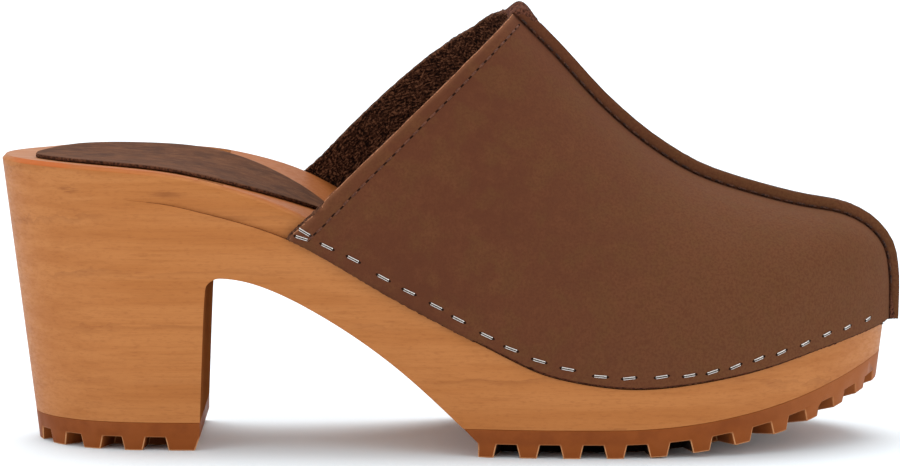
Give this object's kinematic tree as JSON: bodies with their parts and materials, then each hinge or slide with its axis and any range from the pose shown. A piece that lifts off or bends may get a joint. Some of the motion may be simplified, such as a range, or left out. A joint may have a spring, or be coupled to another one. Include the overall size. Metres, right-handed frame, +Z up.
{
  "type": "clog",
  "caption": "Right-foot clog: open-backed leather upper with a raised crest seam, stapled to a carved wooden sole with a high block heel and lugged rubber treads.",
  "frame": {"origin": "on the floor under the centre of the shoe's box", "axes": "+X from the heel to the toe, +Y towards the inner (medial) side, +Z up"},
  "size_m": [0.251, 0.0966, 0.1214],
  "materials": {
    "wood": "oiled alder, satin",
    "rubber": "gum rubber, satin",
    "upper_leather": "brown nubuck, matte",
    "sock_leather": "grey-brown leather, matte",
    "staple_wire": "bright steel wire"
  },
  "bodies": {
    "root": {"sole_block": "wood", "outsole_forefoot": "rubber", "outsole_heel": "rubber", "upper": "upper_leather", "insole_pad": "sock_leather", "staple_lateral_01": "staple_wire", "staple_lateral_02": "staple_wire", "staple_lateral_03": "staple_wire", "staple_lateral_04": "staple_wire", "staple_lateral_05": "staple_wire", "staple_lateral_06": "staple_wire", "staple_lateral_07": "staple_wire", "staple_lateral_08": "staple_wire", "staple_lateral_09": "staple_wire", "staple_lateral_10": "staple_wire", "staple_lateral_11": "staple_wire", "staple_lateral_12": "staple_wire", "staple_lateral_13": "staple_wire", "staple_lateral_14": "staple_wire", "staple_lateral_15": "staple_wire", "staple_lateral_16": "staple_wire", "staple_lateral_17": "staple_wire", "staple_lateral_18": "staple_wire", "staple_lateral_19": "staple_wire", "staple_lateral_20": "staple_wire", "staple_lateral_21": "staple_wire", "staple_lateral_22": "staple_wire", "staple_lateral_23": "staple_wire", "staple_lateral_24": "staple_wire", "staple_medial_01": "staple_wire", "staple_medial_02": "staple_wire", "staple_medial_03": "staple_wire", "staple_medial_04": "staple_wire", "staple_medial_05": "staple_wire", "staple_medial_06": "staple_wire", "staple_medial_07": "staple_wire", "staple_medial_08": "staple_wire", "staple_medial_09": "staple_wire", "staple_medial_10": "staple_wire", "staple_medial_11": "staple_wire", "staple_medial_12": "staple_wire", "staple_medial_13": "staple_wire", "staple_medial_14": "staple_wire", "staple_medial_15": "staple_wire", "staple_medial_16": "staple_wire", "staple_medial_17": "staple_wire", "staple_medial_18": "staple_wire", "staple_medial_19": "staple_wire", "staple_medial_20": "staple_wire", "staple_medial_21": "staple_wire", "staple_medial_22": "staple_wire", "staple_medial_23": "staple_wire", "staple_medial_24": "staple_wire"}
  },
  "joints": []
}
